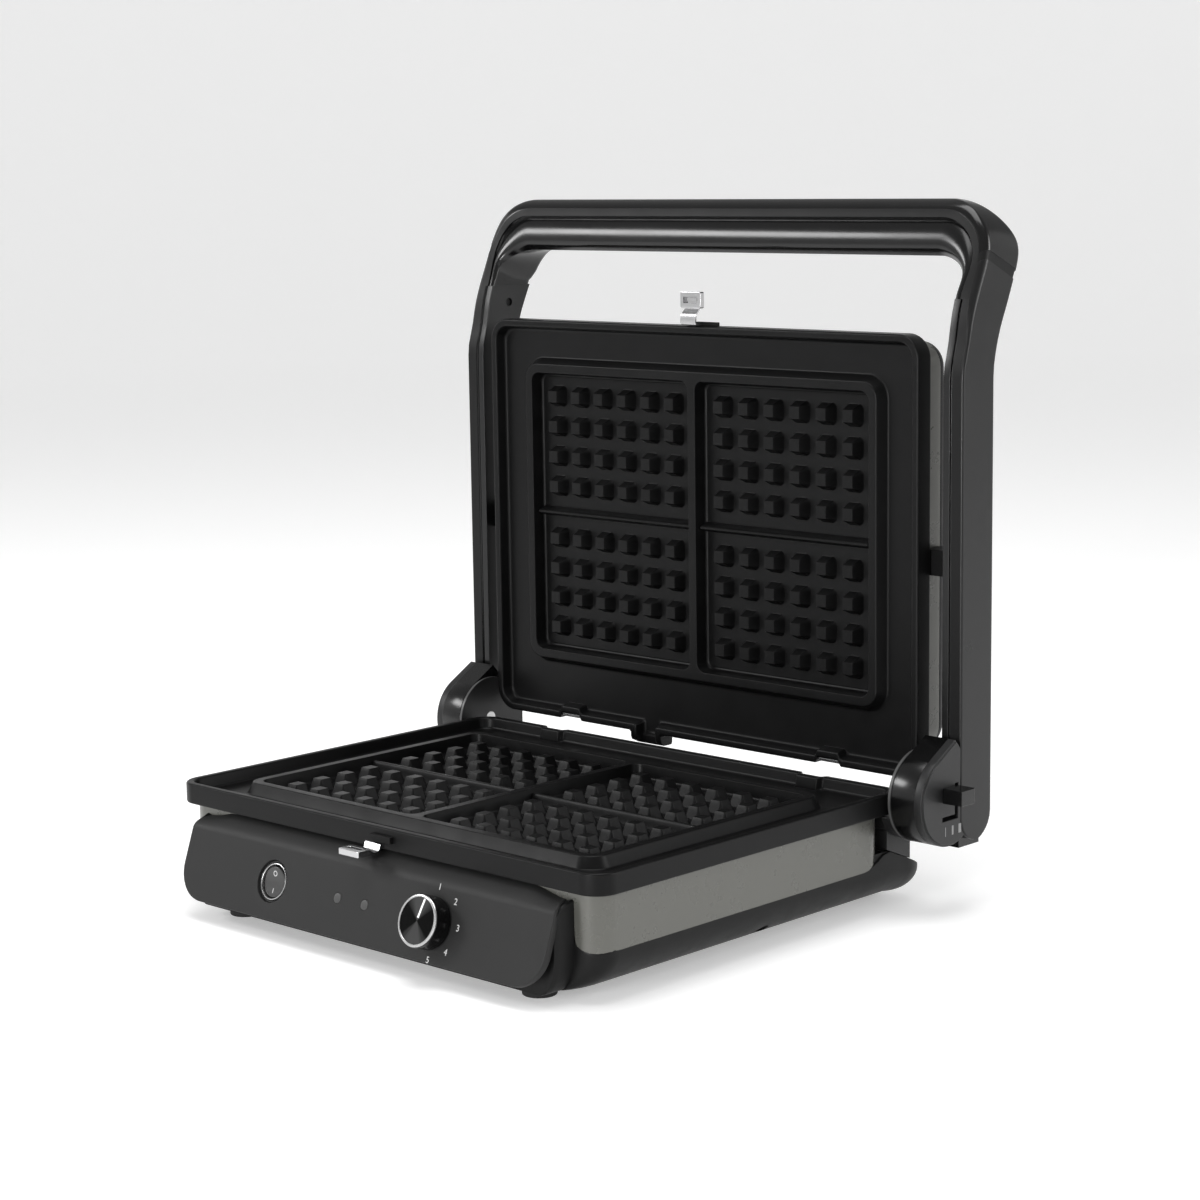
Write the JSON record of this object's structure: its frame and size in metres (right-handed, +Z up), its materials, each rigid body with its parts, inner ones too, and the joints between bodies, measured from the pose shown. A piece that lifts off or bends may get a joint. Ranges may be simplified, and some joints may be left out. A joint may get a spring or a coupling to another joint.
{
  "type": "waffle maker",
  "caption": "Hinged waffle maker with an upright lid, two matching cooking plates with square pegs, a U handle, a leaning control panel and round hinge drums.",
  "frame": {"origin": "centre of the overall box at the level of the feet, with the lid upright; the body's middle plane is at x = -5.8 mm because the lever stands out on the right", "axes": "+X to the user's right, +Y to the back, +Z up"},
  "size_m": [0.3486, 0.3018, 0.3448],
  "materials": {
    "matte_black": "fine grained matte black plastic",
    "satin_black": "satin black plastic",
    "gloss_black": "gloss black plastic",
    "console_grey": "satin dark grey plastic",
    "taupe_metal": "satin taupe painted metal",
    "nonstick": "cast plate with a black non-stick coat",
    "chrome": "bright plated steel",
    "steel": "plain steel",
    "element_steel": "dull heater sheath",
    "sheet_aluminium": "thin sheet aluminium",
    "foot_rubber": "black rubber",
    "lamp_lens": "clear grey lens",
    "dark_disc": "dark radially brushed disc",
    "white_mark": "white line",
    "ceramic": "cream ceramic"
  },
  "bodies": {
    "base": {"bottom_housing": "matte_black", "hinge_bracket_left": "satin_black", "hinge_bracket_right": "satin_black", "base_cover": "matte_black", "base_screws": "steel", "feet": "foot_rubber", "control_panel": "console_grey", "lower_body_shell": "taupe_metal", "lower_reflector": "sheet_aluminium", "lower_heating_element": "element_steel", "lower_plate": "nonstick", "lower_plate_hooks": "chrome", "lower_latch_seat": "matte_black", "switch_body": "matte_black", "switch_bezel": "chrome", "power_lamp": "lamp_lens", "ready_lamp": "lamp_lens", "thermostat_body": "steel", "terminal_block": "ceramic", "thermal_fuse": "steel", "cord_gland": "matte_black", "hinge_pin_left": "steel", "hinge_pin_right": "steel"},
    "handle_arm": {"hinge_drum_left": "gloss_black", "hinge_drum_right": "gloss_black", "hinge_cap_left": "satin_black", "hinge_cap_right": "satin_black", "arm_frame": "gloss_black", "arm_trim_left": "satin_black", "arm_trim_right": "satin_black", "handle_grip": "gloss_black", "arm_screws": "steel", "float_pin_left": "steel", "float_pin_right": "steel"},
    "upper_housing": {"upper_body_shell": "taupe_metal", "upper_cover": "matte_black", "upper_cover_screws": "steel", "pivot_blocks": "matte_black", "upper_reflector": "sheet_aluminium", "upper_heating_element": "element_steel", "upper_plate": "nonstick", "upper_plate_hooks": "chrome", "upper_latch_seat": "matte_black"},
    "knob": {"knob": "gloss_black", "knob_disc": "dark_disc", "knob_pointer": "white_mark", "thermostat_shaft": "steel"},
    "rocker": {"rocker_switch": "console_grey"},
    "height_lever": {"height_lever": "gloss_black"},
    "lower_latch": {"lower_latch": "chrome"},
    "upper_latch": {"upper_latch": "chrome"}
  },
  "joints": [
    {"name": "lid_hinge", "type": "hinge", "parent": "base", "child": "handle_arm", "pos_m": [-0.0058, 0.09697, 0.0591], "axis": [-1, 0, 0], "range_deg": [-90, 90]},
    {"name": "upper_housing_tilt", "type": "hinge", "parent": "handle_arm", "child": "upper_housing", "pos_m": [-0.0058, 0.11787, 0.1708], "axis": [1, 0, 0], "range_deg": [0, 3], "stiffness_Nm_per_rad": 0.8, "springref_deg": -34.38},
    {"name": "knob_turn", "type": "hinge", "parent": "base", "child": "knob", "pos_m": [0.0475, -0.13742, 0.02732], "axis": [0, 0.9432, -0.3322], "range_deg": [-12, 160]},
    {"name": "rocker_press", "type": "hinge", "parent": "base", "child": "rocker", "pos_m": [-0.0643, -0.13411, 0.02647], "axis": [-1, 0, 0], "range_deg": [0, 12]},
    {"name": "height_lever_slide", "type": "slide", "parent": "handle_arm", "child": "height_lever", "axis": [0, 0, -1], "range_m": [0, 0.007]},
    {"name": "lower_latch_pull", "type": "slide", "parent": "base", "child": "lower_latch", "axis": [0, -1, 0], "range_m": [0, 0.002], "stiffness_N_per_m": 800, "springref_m": -0.002},
    {"name": "upper_latch_pull", "type": "slide", "parent": "upper_housing", "child": "upper_latch", "axis": [0, 0, 1], "range_m": [0, 0.002], "stiffness_N_per_m": 800, "springref_m": -0.002}
  ]
}
